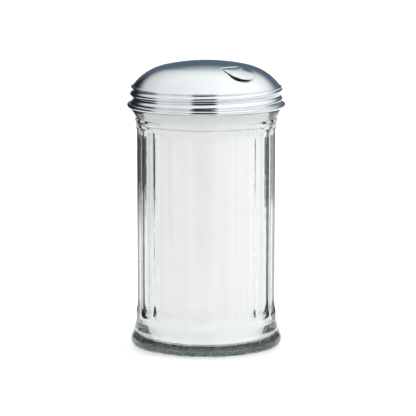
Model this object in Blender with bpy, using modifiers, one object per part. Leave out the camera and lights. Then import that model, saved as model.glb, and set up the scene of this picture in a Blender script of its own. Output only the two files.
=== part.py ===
"""Table sugar dispenser: a panelled glass jar under a screw lid of thin steel with a pouring flap.

The jar stands on the XY plane at the origin. The flap points along +X, so its pin lies along Y.
Lengths are in metres and angles in degrees. The glass and the lid share one thread formula, so the
rolled thread of the lid keeps the same clearance to the glass thread along its whole length.
"""
import math

import bmesh
import bpy
from mathutils import Matrix, Vector

# Clearances shared by all the pieces
seat_gap = 0.0003            # left between two pieces that rest on each other
cut_overrun = 0.0040         # how far a cutter runs past what it cuts

# Jar: overall form
jar_height = 0.1268
body_radius = 0.0340         # round bands below and above the panels
body_draft = 0.00015         # the body is this much slimmer at the top
foot_spread = 0.0027         # how far the foot stands out past the body
heel_radius = 0.0042
flare_height = 0.0155
flare_steps = 4
heel_steps = 5
jar_segments = 57            # three to a panel

# Jar: flat panels round the body
panel_count = 19
panel_phase_deg = 5.5        # the lid screws home with the flap this far from a panel's edge
panel_depth_low = 0.00105
panel_depth_high = 0.00075
panel_above_flare = 0.0071
panel_below_lip = 0.0209
panel_high_radius = 0.0040   # each panel runs out in a short arc at the top
panel_high_sweep_deg = 50.0
panel_high_steps = 4
panel_low_radius = 0.0170    # and in a long one at the bottom
panel_low_sweep_deg = 24.0
panel_low_steps = 5
panel_sharp_deg = 12.0

# Jar: shoulder bead, collar and neck
bead_stand = 0.00055
bead_below_lip = 0.0153
bead_height = 0.0020
dip_stand = 0.0003
dip_below_lip = 0.0140
bead_steps = 3
neck_step = 0.0006           # the neck is this much wider than the body
collar_step = 0.0016         # and the collar this much wider than the neck
collar_below_rim = 0.00035
collar_band = 0.0010
collar_round = 0.0004
lip_round = 0.0012
lip_steps = 2                # in each half of the lip

# Jar: inside and underside
body_wall = 0.0046
neck_wall = 0.0033
floor_thickness = 0.0034
floor_crown = 0.0006
inner_corner_radius = 0.0022
inner_corner_steps = 3
bore_below_lip = 0.0196
neck_bore_below_lip = 0.0151
foot_ring_width = 0.0025
punt_depth = 0.0008
punt_edge = 0.0012
punt_crown = 0.0003

# Thread shared by the glass and the lid
thread_lead = 0.0044
thread_height = 0.0017
thread_gap = 0.00035         # between the glass crest and the lid
thread_sharpness = 1.6       # above 1 the glass ridge is narrower than the wave of the lid
thread_crest_below_lip = 0.00505   # height of the crest at the angle thread_zero_deg
thread_zero_deg = 50.0
thread_first_below_lip = 0.0073
thread_last_below_lip = 0.0025
thread_fade_deg = 35.0
thread_row = 0.00062         # spacing of the mesh rows that carry the thread
row_margin_share = 0.25      # of a row, within which a vertex counts as on it

# Liner ring between the lid and the lip
liner_thickness = 0.0010
liner_side_gap = 0.0004      # to the grooves of the lid that it passes through
liner_inset = 0.0006         # the liner stays this far back from the neck's bore
liner_chamfer = 0.0003
liner_segments = 48

# Lid: sheet, dome, skirt and rolled rim
lid_sheet = 0.00045
crown_radius = 0.0900
crown_half_angle_deg = 11.0
crease_slope_deg = 49.2      # slope of the dome where it meets the top bead
wave_height = 0.00125        # from the skirt's groove to its ridge
top_bead_stand = 0.00075
top_bead_below_crease = 0.0006
skirt_foot_below_lip = 0.0069
skirt_flare = 0.0010
rim_spread = 0.0014          # the rolled rim stands out past the ridge
rim_roll_radius = 0.00105
rim_below_foot = 0.0013
rim_roll_start_deg = 112.0
rim_roll_end_deg = -150.0
rim_roll_steps = 8
crown_steps = 3
dome_steps = 6
lid_segments = 48

# Pour opening and the hinge under it
pin_radius = 0.00055
pin_hole_gap = 0.00010
pin_end_play = 0.00020
pin_head_radius = 0.00080
pin_head_length = 0.00030
pin_head_chamfer = 0.00010
ear_margin = 0.00085         # metal round the pin's hole
ear_steps = 10
pin_segments = 16

# Flap
flap_sheet = 0.00050
flap_end_inset = 0.00425     # from the dome's crease to the flap's free end
flap_length = 0.0128         # from the pin to the free end
flap_half_width = 0.0071
flap_root_ahead = 0.0020     # the full width starts this far ahead of the pin
flap_corner = 0.0010
flap_overlap = 0.0008        # how far the flap covers the edge of the pour opening
flap_lip_rise = 0.00080      # the free end stands this much prouder than the root
tip_length_share = 0.8       # length of the rounded end, as a share of the half width
tip_steps = 12
corner_steps = 3
flap_rows = 6
flap_columns = 8
roll_gap = 0.00025           # running gap between the flap's roll and its pin
roll_side_gap = 0.00050
roll_back_gap = 0.00040
roll_steps = 16
roll_end_deg = 40.0          # where the strip leaves the roll
strip_leaves_share = 0.45
strip_end_share = 0.3        # half thickness of the strip where it runs into the flap
strip_steps = 5


def dome_slope(radius):
    """Return the slope of the dome, in radians, at a distance from the axis."""
    if radius <= crown_edge:
        return math.asin(radius / crown_radius)
    return math.asin(math.sin(crown_angle) + (radius - crown_edge) / knuckle_radius)


def dome_drop(radius):
    """Return how far the dome's outer surface lies below its top at a distance from the axis."""
    slope = dome_slope(radius)
    if radius <= crown_edge:
        return crown_radius * (1.0 - math.cos(slope))
    crown_drop = crown_radius * (1.0 - math.cos(crown_angle))
    return crown_drop + knuckle_radius * (math.cos(crown_angle) - math.cos(slope))


def dome_height(radius):
    """Return the height of the dome's outer surface at a distance from the axis."""
    return dome_top_z - dome_drop(radius)


def under_dome(radius):
    """Return the height of the dome's inner surface at a distance from the axis."""
    return dome_height(radius) - lid_sheet / math.cos(dome_slope(radius))


# Radii worked out from the sizes above, from the neck outwards
neck_radius = body_radius + neck_step
neck_bore_radius = neck_radius - neck_wall
crest_radius = neck_radius + thread_height
ridge_radius = crest_radius + thread_gap + lid_sheet
groove_radius = ridge_radius - wave_height
rim_radius = ridge_radius + rim_spread
liner_outer_radius = groove_radius - lid_sheet - liner_side_gap
liner_inner_radius = neck_bore_radius + liner_inset

# The dome is a shallow crown that rolls over a tighter knuckle to the crease
crown_angle = math.radians(crown_half_angle_deg)
crown_edge = crown_radius * math.sin(crown_angle)
crease_sine = math.sin(math.radians(crease_slope_deg))
knuckle_radius = (groove_radius - crown_edge) / (crease_sine - math.sin(crown_angle))

# Heights: the liner lies on the lip and the dome comes down on the liner's outer edge
liner_low_z = jar_height + seat_gap
liner_top_z = liner_low_z + liner_thickness
liner_edge = liner_outer_radius - liner_chamfer
dome_top_z = liner_top_z + (seat_gap + lid_sheet) / math.cos(dome_slope(liner_edge)) + dome_drop(liner_edge)
crease_z = dome_height(groove_radius)
top_bead_z = crease_z - top_bead_below_crease
skirt_foot_z = jar_height - skirt_foot_below_lip
rim_z = skirt_foot_z - rim_below_foot
collar_top_z = rim_z - rim_roll_radius - collar_below_rim

# Flap and opening, from the free end back to the pin
flap_end_x = groove_radius - flap_end_inset
hinge_x = flap_end_x - flap_length
flap_root_x = hinge_x + flap_root_ahead
roll_radius = pin_radius + roll_gap + flap_sheet
opening_half_width = flap_half_width - flap_overlap
opening_end_x = flap_end_x - flap_overlap
opening_root_x = hinge_x - roll_radius - roll_back_gap
roll_half_width = opening_half_width - lid_sheet / 2 - roll_side_gap
ear_radius = pin_radius + pin_hole_gap + ear_margin
pin_head_y = opening_half_width + lid_sheet / 2 + pin_end_play
pin_end_y = pin_head_y + pin_head_length
hinge_z = under_dome(math.hypot(hinge_x, pin_end_y)) - seat_gap - pin_head_radius
hinge_point = Vector((hinge_x, 0.0, hinge_z))


def clear_scene():
    """Remove whatever the scene holds."""
    for old in list(bpy.data.objects):
        bpy.data.objects.remove(old, do_unlink=True)


def collection(name):
    """Return a collection of that name, linked into the scene."""
    found = bpy.data.collections.get(name) or bpy.data.collections.new(name)
    if found.name not in bpy.context.scene.collection.children:
        bpy.context.scene.collection.children.link(found)
    return found


def material(name, colour, roughness, metallic=0.0, transmission=0.0, ior=1.5):
    """Return a Principled material."""
    made = bpy.data.materials.new(name)
    made.use_nodes = True
    shader = made.node_tree.nodes["Principled BSDF"]
    shader.inputs["Base Color"].default_value = (*colour, 1.0)
    shader.inputs["Roughness"].default_value = roughness
    shader.inputs["Metallic"].default_value = metallic
    shader.inputs["Transmission Weight"].default_value = transmission
    shader.inputs["IOR"].default_value = ior
    made.diffuse_color = (*colour, 1.0)
    made.metallic = metallic
    made.roughness = roughness
    return made


def add_object(name, mesh, home):
    """Make an object of a mesh and put it in a collection."""
    made = bpy.data.objects.new(name, mesh)
    home.objects.link(made)
    return made


def as_cutter(made):
    """Show an object as a wire and keep it out of renders."""
    made.hide_render = True
    made.display_type = "WIRE"
    return made


def profile_object(name, points, home):
    """Make an open chain of edges from (radius, height) points, in the XZ plane."""
    mesh = bpy.data.meshes.new(name)
    shape = bmesh.new()
    corners = [shape.verts.new((radius, 0.0, height)) for radius, height in points]
    for start, end in zip(corners, corners[1:]):
        shape.edges.new((start, end))
    shape.to_mesh(mesh)
    shape.free()
    return add_object(name, mesh, home)


def turned(name, points, segments, home, sweep_deg=360.0):
    """Turn a profile, listed down its outer side, round the Z axis."""
    made = profile_object(name, points, home)
    screw = made.modifiers.new("Turn", "SCREW")
    screw.axis = "Z"
    screw.angle = math.radians(sweep_deg)
    screw.steps = segments
    screw.render_steps = segments
    screw.use_merge_vertices = True
    screw.merge_threshold = 0.00001
    return made


def outline_object(name, points, low_z, high_z, home):
    """Make a prism from a flat outline of (x, y) points, between two heights."""
    curve = bpy.data.curves.new(name, "CURVE")
    curve.dimensions = "2D"
    curve.fill_mode = "BOTH"
    curve.extrude = (high_z - low_z) / 2
    line = curve.splines.new("POLY")
    line.points.add(len(points) - 1)
    for point, (x, y) in zip(line.points, points):
        point.co = (x, y, 0.0, 1.0)
    line.use_cyclic_u = True
    made = add_object(name, curve, home)
    made.location.z = (high_z + low_z) / 2
    return as_mesh(made)


def as_mesh(made):
    """Replace an object by the mesh that its curve or its modifiers make, at the origin."""
    bpy.context.view_layer.update()
    graph = bpy.context.evaluated_depsgraph_get()
    mesh = bpy.data.meshes.new_from_object(made.evaluated_get(graph))
    mesh.transform(made.matrix_world)
    shape = bmesh.new()
    shape.from_mesh(mesh)
    bmesh.ops.remove_doubles(shape, verts=shape.verts, dist=0.000001)
    bmesh.ops.recalc_face_normals(shape, faces=shape.faces)
    shape.to_mesh(mesh)
    shape.free()
    home = made.users_collection[0]
    name = made.name
    bpy.data.objects.remove(made, do_unlink=True)
    mesh.name = name
    return add_object(name, mesh, home)


def thicken(made, thickness):
    """Give an outer surface its sheet thickness, inwards."""
    shell = made.modifiers.new("Sheet", "SOLIDIFY")
    shell.thickness = thickness
    shell.offset = -1.0
    shell.use_even_offset = True
    return made


def combine(made, other, operation):
    """Add an exact Boolean with another object."""
    step = made.modifiers.new(operation.title(), "BOOLEAN")
    step.operation = operation
    step.object = other
    step.solver = "EXACT"
    return made


def place(made, origin, parent=None):
    """Move the object's origin to a point without moving its shape, and parent it."""
    made.data.transform(Matrix.Translation(-origin))
    made.location = origin
    if parent is not None:
        made.parent = parent
        made.location = origin - parent.matrix_world.translation
    bpy.context.view_layer.update()
    return made


def finish(made, paint, sharp_deg=35.0):
    """Give a piece its material and smooth shading."""
    made.data.materials.clear()
    made.data.materials.append(paint)
    made.data.shade_smooth()
    made.data.set_sharp_from_angle(angle=math.radians(sharp_deg))
    return made


def arc(centre, radius, start_deg, end_deg, steps):
    """Return points along an arc, both ends included."""
    points = []
    for step in range(steps + 1):
        angle = math.radians(start_deg + (end_deg - start_deg) * step / steps)
        points.append((centre[0] + radius * math.cos(angle), centre[1] + radius * math.sin(angle)))
    return points


def rows_between(top_z, low_z):
    """Return heights from the top to the bottom, spaced to carry the thread."""
    count = max(2, round((top_z - low_z) / thread_row))
    return [top_z + (low_z - top_z) * step / count for step in range(count + 1)]


def ease(value):
    """Rise smoothly from 0 to 1."""
    held = min(1.0, max(0.0, value))
    return held * held * (3.0 - 2.0 * held)


def thread_turn(angle, height):
    """Return how far a point is from the nearest crest, in turns, and that crest's total angle."""
    crest_zero = jar_height - thread_crest_below_lip
    along = angle - math.radians(thread_zero_deg)
    turns = (height - crest_zero) / thread_lead - along / math.tau
    nearest = round(turns)
    return turns - nearest, along + math.tau * nearest


def thread_wave(angle, height):
    """Return 1 on the crest of the thread and 0 in its valley."""
    offset, _ = thread_turn(angle, height)
    return 0.5 + 0.5 * math.cos(math.tau * offset)


def glass_thread(angle, height):
    """Return the height share of the glass thread, which fades in and out at its ends."""
    _, total = thread_turn(angle, height)
    lead_per_radian = thread_lead / math.tau
    crest_zero = jar_height - thread_crest_below_lip
    first = (jar_height - thread_first_below_lip - crest_zero) / lead_per_radian
    last = (jar_height - thread_last_below_lip - crest_zero) / lead_per_radian
    fade = math.radians(thread_fade_deg)
    inside = min(ease((total - first) / fade + 1.0), ease((last - total) / fade + 1.0))
    return inside * thread_wave(angle, height) ** thread_sharpness


def dome_profile():
    """Return points down the dome from its top to the crease."""
    radii = [crown_edge * step / crown_steps for step in range(crown_steps)]
    for step in range(dome_steps + 1):
        slope = crown_angle + (math.asin(crease_sine) - crown_angle) * step / dome_steps
        radii.append(crown_edge + knuckle_radius * (math.sin(slope) - math.sin(crown_angle)))
    return [(radius, dome_height(radius)) for radius in radii]


def eased(start, end, steps):
    """Return points from one (radius, height) to another, level with the axis at both ends."""
    points = []
    for step in range(steps + 1):
        share = step / steps
        points.append((start[0] + (end[0] - start[0]) * ease(share), start[1] + (end[1] - start[1]) * share))
    return points


def jar_profile():
    """Return the jar's section: up the inside from the floor, over the lip and down the outside."""
    bore_radius = body_radius - body_wall
    points = [(0.0, floor_thickness + floor_crown)]
    corner = (bore_radius - inner_corner_radius, floor_thickness + inner_corner_radius)
    points += arc(corner, inner_corner_radius, -90.0, 0.0, inner_corner_steps)
    points.append((bore_radius, jar_height - bore_below_lip))
    points.append((neck_bore_radius, jar_height - neck_bore_below_lip))
    lip_z = jar_height - lip_round
    points += arc((neck_bore_radius + lip_round, lip_z), lip_round, 180.0, 90.0, lip_steps)
    points += arc((neck_radius - lip_round, lip_z), lip_round, 90.0, 0.0, lip_steps)
    points += [(neck_radius, height) for height in rows_between(lip_z, collar_top_z)[1:]]
    points += shoulder_profile()
    points += foot_profile()
    return points


def shoulder_profile():
    """Return the collar, the cone below it, the bead and the round body above the panels."""
    collar_radius = neck_radius + collar_step
    top_radius = body_radius - body_draft
    bead = (body_radius + bead_stand, jar_height - bead_below_lip)
    dip = (body_radius + dip_stand, jar_height - dip_below_lip)
    points = [
        (collar_radius - collar_round, collar_top_z),
        (collar_radius, collar_top_z - collar_round),
        (collar_radius, collar_top_z - collar_band),
    ]
    points += eased(dip, bead, bead_steps)
    points += eased(bead, (top_radius, bead[1] - bead_height), bead_steps)[1:]
    return points


def foot_profile():
    """Return the concave flare, the round heel and the underside with its shallow recess."""
    heel = (body_radius + foot_spread - heel_radius, heel_radius)
    reach = body_radius - heel[0]
    drop = flare_height - heel_radius
    # The flare leaves the body upright and meets the heel tangentially
    flare_radius = (reach ** 2 + drop ** 2 - heel_radius ** 2) / (2 * (heel_radius - reach))
    tangent = math.degrees(math.asin(drop / (flare_radius + heel_radius)))
    centre = (body_radius + flare_radius, flare_height)
    points = arc(centre, flare_radius, 180.0, 180.0 + tangent, flare_steps)
    points += arc(heel, heel_radius, tangent, -90.0, heel_steps)[1:]
    ring_inner = heel[0] - foot_ring_width
    points.append((ring_inner, 0.0))
    points.append((ring_inner - punt_edge, punt_depth))
    points.append((0.0, punt_depth + punt_crown))
    return points


def panel_profile():
    """Return the section of the many-sided block that leaves the panels on the round body."""
    outer = body_radius + foot_spread + cut_overrun
    top_z = jar_height + cut_overrun
    high = (body_radius - panel_depth_high + panel_high_radius, jar_height - panel_below_lip)
    low = (body_radius - panel_depth_low + panel_low_radius, flare_height + panel_above_flare)
    ends = arc(high, panel_high_radius, 180.0 - panel_high_sweep_deg, 180.0, panel_high_steps)
    ends += arc(low, panel_low_radius, 180.0, 180.0 + panel_low_sweep_deg, panel_low_steps)
    # Past the arcs the ends keep their slope out to the block's full width
    high_z = ends[0][1] + (outer - ends[0][0]) / math.tan(math.radians(panel_high_sweep_deg))
    low_z = ends[-1][1] - (outer - ends[-1][0]) / math.tan(math.radians(panel_low_sweep_deg))
    points = [(0.0, top_z), (outer, top_z), (outer, high_z)] + ends
    points += [(outer, low_z), (outer, -cut_overrun), (0.0, -cut_overrun)]
    corner = 1.0 / math.cos(math.pi / panel_count)
    return [(radius * corner, height) for radius, height in points]


def push_out(vertex, radius):
    """Move a vertex out or in to a distance from the axis."""
    grown = radius / math.hypot(vertex.co.x, vertex.co.y)
    vertex.co.x *= grown
    vertex.co.y *= grown


def make_jar(home, cutters, paint):
    """Turn the jar, raise its thread and cut its panels."""
    blank = turned("glass_jar", jar_profile(), jar_segments, home)
    blank.rotation_euler.z = math.radians(panel_phase_deg)
    jar = as_mesh(blank)
    for vertex in jar.data.vertices:
        radius = math.hypot(vertex.co.x, vertex.co.y)
        on_neck = collar_top_z < vertex.co.z < jar_height - lip_round / 2
        if on_neck and abs(radius - neck_radius) < lip_round / 4:
            angle = math.atan2(vertex.co.y, vertex.co.x)
            push_out(vertex, neck_radius + thread_height * glass_thread(angle, vertex.co.z))
    block = as_cutter(turned("panel_block", panel_profile(), panel_count, cutters))
    block.rotation_euler.z = math.radians(panel_phase_deg)
    combine(jar, block, "INTERSECT")
    return finish(jar, paint, sharp_deg=panel_sharp_deg)


def make_liner(home, paint):
    """Turn the liner, a flat ring that lies on the lip under the dome."""
    points = [
        (liner_inner_radius, liner_top_z),
        (liner_edge, liner_top_z),
        (liner_outer_radius, liner_top_z - liner_chamfer),
        (liner_outer_radius, liner_low_z),
        (liner_inner_radius, liner_low_z),
        (liner_inner_radius, liner_top_z),
    ]
    liner = as_mesh(turned("lid_liner", points, liner_segments, home))
    return finish(liner, paint)


def lid_profile():
    """Return the lid's outer surface from the top of the dome to the end of its rolled rim."""
    points = dome_profile()
    points += [(groove_radius, height) for height in rows_between(top_bead_z, skirt_foot_z)]
    roll = (rim_radius - rim_roll_radius, rim_z)
    points += arc(roll, rim_roll_radius, rim_roll_start_deg, rim_roll_end_deg, rim_roll_steps)
    return points


def skirt_radius(angle, height):
    """Return the outer radius of the skirt: the thread wave between the top bead and the flare."""
    wave = wave_height * thread_wave(angle, height)
    bead = top_bead_stand * ease(1.0 - (top_bead_z - height) / skirt_flare)
    flare = wave_height * ease(1.0 - (height - skirt_foot_z) / skirt_flare)
    return groove_radius + max(wave, bead, flare)


def stood_up(made, low_y):
    """Turn a prism drawn in XY up into XZ, with its lower face at a given Y."""
    swap = Matrix(((1, 0, 0, 0), (0, 0, 1, 0), (0, 1, 0, 0), (0, 0, 0, 1)))
    made.data.transform(Matrix.Translation((0.0, low_y, 0.0)) @ swap)
    made.data.flip_normals()
    return made


def ear(side, home):
    """Make one hinge ear, a tab bent down from the side of the opening."""
    outline = []
    for x in (hinge_x + ear_radius, hinge_x - ear_radius):
        outline.append((x, dome_height(math.hypot(x, opening_half_width)) - lid_sheet / 2))
    outline += arc((hinge_x, hinge_z), ear_radius, 180.0, 360.0, ear_steps)
    name = "hinge_ear_left" if side > 0 else "hinge_ear_right"
    made = outline_object(name, outline, 0.0, lid_sheet, home)
    return stood_up(made, side * opening_half_width - lid_sheet / 2)


def tongue_outline(root_x, end_x, half_width, corner):
    """Return a tongue-shaped outline: a square root with rounded corners and a round free end."""
    tip = tip_length_share * half_width
    points = arc((root_x + corner, corner - half_width), corner, 180.0, 270.0, corner_steps)
    for step in range(tip_steps + 1):
        angle = math.radians(-90.0 + 180.0 * step / tip_steps)
        points.append((end_x - tip + tip * math.cos(angle), half_width * math.sin(angle)))
    points += arc((root_x + corner, half_width - corner), corner, 90.0, 180.0, corner_steps)
    return points


def make_lid(home, cutters, paint):
    """Turn the lid, roll its thread, cut the pour opening and add the two hinge ears."""
    lid = as_mesh(turned("lid_shell", lid_profile(), lid_segments, home))
    row_margin = thread_row * row_margin_share
    for vertex in lid.data.vertices:
        radius = math.hypot(vertex.co.x, vertex.co.y)
        on_skirt = skirt_foot_z - row_margin < vertex.co.z < top_bead_z + row_margin
        if on_skirt and abs(radius - groove_radius) < lid_sheet / 2:
            angle = math.atan2(vertex.co.y, vertex.co.x)
            push_out(vertex, skirt_radius(angle, vertex.co.z))
    thicken(lid, lid_sheet)
    outline = tongue_outline(opening_root_x, opening_end_x, opening_half_width, flap_corner)
    punch = as_cutter(outline_object("pour_punch", outline, rim_z, dome_top_z + cut_overrun, cutters))
    combine(lid, punch, "DIFFERENCE")
    for side in (-1, 1):
        combine(lid, as_cutter(ear(side, cutters)), "UNION")
    drill = as_cutter(pin_cylinder("pin_drill", pin_radius + pin_hole_gap, pin_head_y, cutters))
    combine(lid, drill, "DIFFERENCE")
    return finish(lid, paint)


def pin_cylinder(name, radius, half_length, home):
    """Make a closed cylinder along the hinge axis."""
    mesh = bpy.data.meshes.new(name)
    shape = bmesh.new()
    bmesh.ops.create_cone(shape, cap_ends=True, segments=pin_segments, radius1=radius, radius2=radius,
                          depth=2 * half_length)
    shape.to_mesh(mesh)
    shape.free()
    mesh.transform(Matrix.Translation(hinge_point) @ Matrix.Rotation(math.radians(90.0), 4, "X"))
    return add_object(name, mesh, home)


def make_pin(home, paint):
    """Turn the hinge pin with a peened head outside each ear."""
    half = [
        (0.0, pin_end_y),
        (pin_head_radius - pin_head_chamfer, pin_end_y),
        (pin_head_radius, pin_end_y - pin_head_chamfer),
        (pin_head_radius, pin_head_y),
        (pin_radius, pin_head_y),
    ]
    points = half + [(radius, -height) for radius, height in reversed(half)]
    pin = as_mesh(turned("hinge_pin", points, pin_segments, home))
    pin.data.transform(Matrix.Translation(hinge_point) @ Matrix.Rotation(math.radians(90.0), 4, "X"))
    return finish(pin, paint)


def make_flap(home, cutters, paint):
    """Make the flap: a tongue pressed to the dome's curve, joined to a roll round the pin."""
    reach = flap_end_x - flap_root_x + 2 * flap_sheet
    points = []
    for step in range(flap_rows + 1):
        share = step / flap_rows
        radius = flap_root_x - flap_sheet + reach * share
        points.append((radius, dome_height(radius) + seat_gap + flap_sheet + flap_lip_rise * share))
    half_sweep_deg = math.degrees(math.atan2(flap_half_width + flap_sheet, flap_root_x))
    plate = turned("flap", points, flap_columns, home, sweep_deg=2 * half_sweep_deg)
    plate.rotation_euler.z = -math.radians(half_sweep_deg)
    plate = as_mesh_open(plate)
    thicken(plate, flap_sheet)
    outline = tongue_outline(flap_root_x, flap_end_x, flap_half_width, flap_corner)
    blank = as_cutter(outline_object("flap_blank", outline, rim_z, dome_top_z + cut_overrun, cutters))
    combine(plate, blank, "INTERSECT")
    combine(plate, as_cutter(flap_roll(cutters)), "UNION")
    drill = as_cutter(pin_cylinder("flap_drill", pin_radius + roll_gap, pin_head_y, cutters))
    combine(plate, drill, "DIFFERENCE")
    return finish(plate, paint)


def as_mesh_open(made):
    """Bake an open surface without turning its faces."""
    bpy.context.view_layer.update()
    graph = bpy.context.evaluated_depsgraph_get()
    mesh = bpy.data.meshes.new_from_object(made.evaluated_get(graph))
    mesh.transform(made.matrix_world)
    home = made.users_collection[0]
    name = made.name
    bpy.data.objects.remove(made, do_unlink=True)
    mesh.name = name
    return add_object(name, mesh, home)


def flap_roll(home):
    """Make the roll round the pin and the strip that rises from it into the flap's root."""
    middle = roll_radius - flap_sheet / 2
    reach = flap_root_x + flap_sheet - hinge_x
    # The strip is straight across while the flap is domed, so it aims between middle and sides
    far = hinge_x + reach
    root_z = (dome_height(far) + dome_height(math.hypot(far, roll_half_width))) / 2
    rise = root_z + seat_gap + flap_sheet / 2 - hinge_z - middle
    upper = []
    lower = []
    for step in range(strip_steps + 1):
        share = step / strip_steps
        half = flap_sheet * (0.5 + (strip_end_share - 0.5) * share)
        height = hinge_z + middle + rise * ease(share)
        upper.append((hinge_x + reach * share, height + half))
        if share > strip_leaves_share:
            lower.append((hinge_x + reach * share, height - half))
    outline = arc((hinge_x, hinge_z), roll_radius, 90.0, 360.0 + roll_end_deg, roll_steps)
    outline += lower + upper[:0:-1]
    made = outline_object("flap_roll", outline, 0.0, 2 * roll_half_width, home)
    return stood_up(made, -roll_half_width)


def main():
    clear_scene()
    home = collection("sugar_dispenser")
    cutters = collection("cutters")
    glass = material("clear_glass", (0.93, 0.96, 0.95), 0.03, transmission=1.0, ior=1.52)
    bright_steel = material("bright_steel", (0.80, 0.81, 0.82), 0.18, metallic=1.0)
    wire_steel = material("wire_steel", (0.70, 0.71, 0.72), 0.25, metallic=1.0)
    white_liner = material("white_liner", (0.85, 0.85, 0.82), 0.55)

    jar = make_jar(home, cutters, glass)
    liner = make_liner(home, white_liner)
    lid = make_lid(home, cutters, bright_steel)
    pin = make_pin(home, wire_steel)
    flap = make_flap(home, cutters, bright_steel)
    # The lid rides on the liner, and the pin and the flap ride on the lid
    place(liner, Vector((0.0, 0.0, liner_low_z)), jar)
    place(lid, Vector((0.0, 0.0, rim_z)), liner)
    place(pin, hinge_point, lid)
    place(flap, hinge_point, lid)


main()
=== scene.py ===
# %% [markdown]
# # A glass sugar dispenser with a steel screw lid
#
# The real one comes apart into a pressed glass jar, a sealing ring, a lid pressed from thin steel
# and a small flap that turns on a wire pin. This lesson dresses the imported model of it: each
# piece is modelled again with a fine surface, gets its finish, and is photographed on a white
# table.
#
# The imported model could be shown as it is, but its round walls are only 48 to 60 facets, and
# glass and bright steel show every facet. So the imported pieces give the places, and finer ones
# stand for them.

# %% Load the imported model
import math

import bmesh
import bpy
from mathutils import Matrix, Vector, noise


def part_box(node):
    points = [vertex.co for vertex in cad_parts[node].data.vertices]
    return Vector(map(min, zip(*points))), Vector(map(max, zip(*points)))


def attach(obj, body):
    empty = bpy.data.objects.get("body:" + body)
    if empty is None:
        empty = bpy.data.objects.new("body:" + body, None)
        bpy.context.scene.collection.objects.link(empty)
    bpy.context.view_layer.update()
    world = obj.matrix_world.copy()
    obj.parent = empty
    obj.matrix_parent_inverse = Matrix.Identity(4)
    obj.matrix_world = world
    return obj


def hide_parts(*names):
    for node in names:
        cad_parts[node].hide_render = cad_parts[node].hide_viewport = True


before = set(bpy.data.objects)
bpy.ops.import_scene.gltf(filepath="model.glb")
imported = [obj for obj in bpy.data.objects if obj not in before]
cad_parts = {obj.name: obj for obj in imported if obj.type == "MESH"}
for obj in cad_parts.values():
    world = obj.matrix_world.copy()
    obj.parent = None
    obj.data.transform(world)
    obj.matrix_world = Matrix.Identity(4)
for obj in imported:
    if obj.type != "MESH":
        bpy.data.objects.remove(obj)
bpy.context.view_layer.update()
print("packed pieces:", ", ".join(sorted(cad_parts)))

# %% [markdown]
# ## Turned pieces
#
# A jar, a lid, a ring and a pin are all turned: one section goes once round an axis. A lathe-like
# Screw modifier would do it, but a spin in bmesh leaves real vertices, which the next steps push
# in and out to make the flat panels and the thread. So a section is a chain of (radius, height)
# points here, and the spin closes on its own start. Doubles are merged and the faces are turned
# outwards afterwards.

# %% Points of a section
def arc(centre, radius, start_deg, end_deg, steps):
    """Return points along an arc, both ends included."""
    points = []
    for step in range(steps + 1):
        angle = math.radians(start_deg + (end_deg - start_deg) * step / steps)
        points.append((centre[0] + radius * math.cos(angle), centre[1] + radius * math.sin(angle)))
    return points


def line(start, end, spacing):
    """Return points from start to end, no further apart than the spacing."""
    steps = max(1, math.ceil(math.dist(start, end) / spacing))
    return [tuple(Vector(start).lerp(Vector(end), step / steps)) for step in range(steps + 1)]


def ease(share):
    """Rise smoothly from 0 to 1."""
    held = min(1.0, max(0.0, share))
    return held * held * (3.0 - 2.0 * held)


# %% Turning a section
merge_distance = 0.000002


def spun(section, steps, angle, closed):
    """Spin a section of (radius, height) points round the Z axis."""
    shape = bmesh.new()
    chain = [shape.verts.new((radius, 0.0, height)) for radius, height in section]
    edges = [shape.edges.new(pair) for pair in zip(chain, chain[1:])]
    bmesh.ops.spin(shape, geom=chain + edges, cent=(0, 0, 0), axis=(0, 0, 1),
                   angle=angle, steps=steps, use_merge=closed)
    return shape


def turned(section, steps):
    """Spin a section once round the Z axis and return it as a clean bmesh."""
    shape = spun(section, steps, math.tau, closed=True)
    bmesh.ops.remove_doubles(shape, verts=shape.verts, dist=merge_distance)
    bmesh.ops.recalc_face_normals(shape, faces=shape.faces)
    return shape


# %% Moving points
def polar_points(shape):
    """Yield each vertex with its angle round the Z axis and its distance from it."""
    for vertex in shape.verts:
        yield vertex, math.atan2(vertex.co.y, vertex.co.x), math.hypot(vertex.co.x, vertex.co.y)


def set_polar(vertex, angle, radius):
    """Put a vertex at an angle and a distance, at the height that it has."""
    vertex.co.x = radius * math.cos(angle)
    vertex.co.y = radius * math.sin(angle)


def move(shape, matrix):
    """Put all of a shape through a matrix."""
    bmesh.ops.transform(shape, matrix=matrix, verts=shape.verts)


# %% Making a piece
def piece(name, shape, sharp_deg=180.0):
    """Make an object from a bmesh, smooth but for its sharp edges, and print how many triangles it
    has.
    """
    mesh = bpy.data.meshes.new(name)
    shape.to_mesh(mesh)
    shape.free()
    mesh.shade_smooth()
    mesh.set_sharp_from_angle(angle=math.radians(sharp_deg))
    made = bpy.data.objects.new(name, mesh)
    bpy.context.scene.collection.objects.link(made)
    print(name, "has", sum(len(face.vertices) - 2 for face in mesh.polygons), "triangles")
    return made


def stand_for(made, node, body):
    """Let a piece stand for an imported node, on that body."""
    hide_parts(node)
    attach(made, body)


# %% [markdown]
# ## The jar's section
#
# The jar is pressed in a mould: a thick foot that flares to a round heel, a straight body, a
# bead, a collar under the lid and a neck with one turn and a bit of thread. The section starts on
# the axis under the foot, goes up the outside, over the lip, and down the inside to the floor.
# Round stretches are arcs, so the glass bends light as a polished one does.

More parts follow.
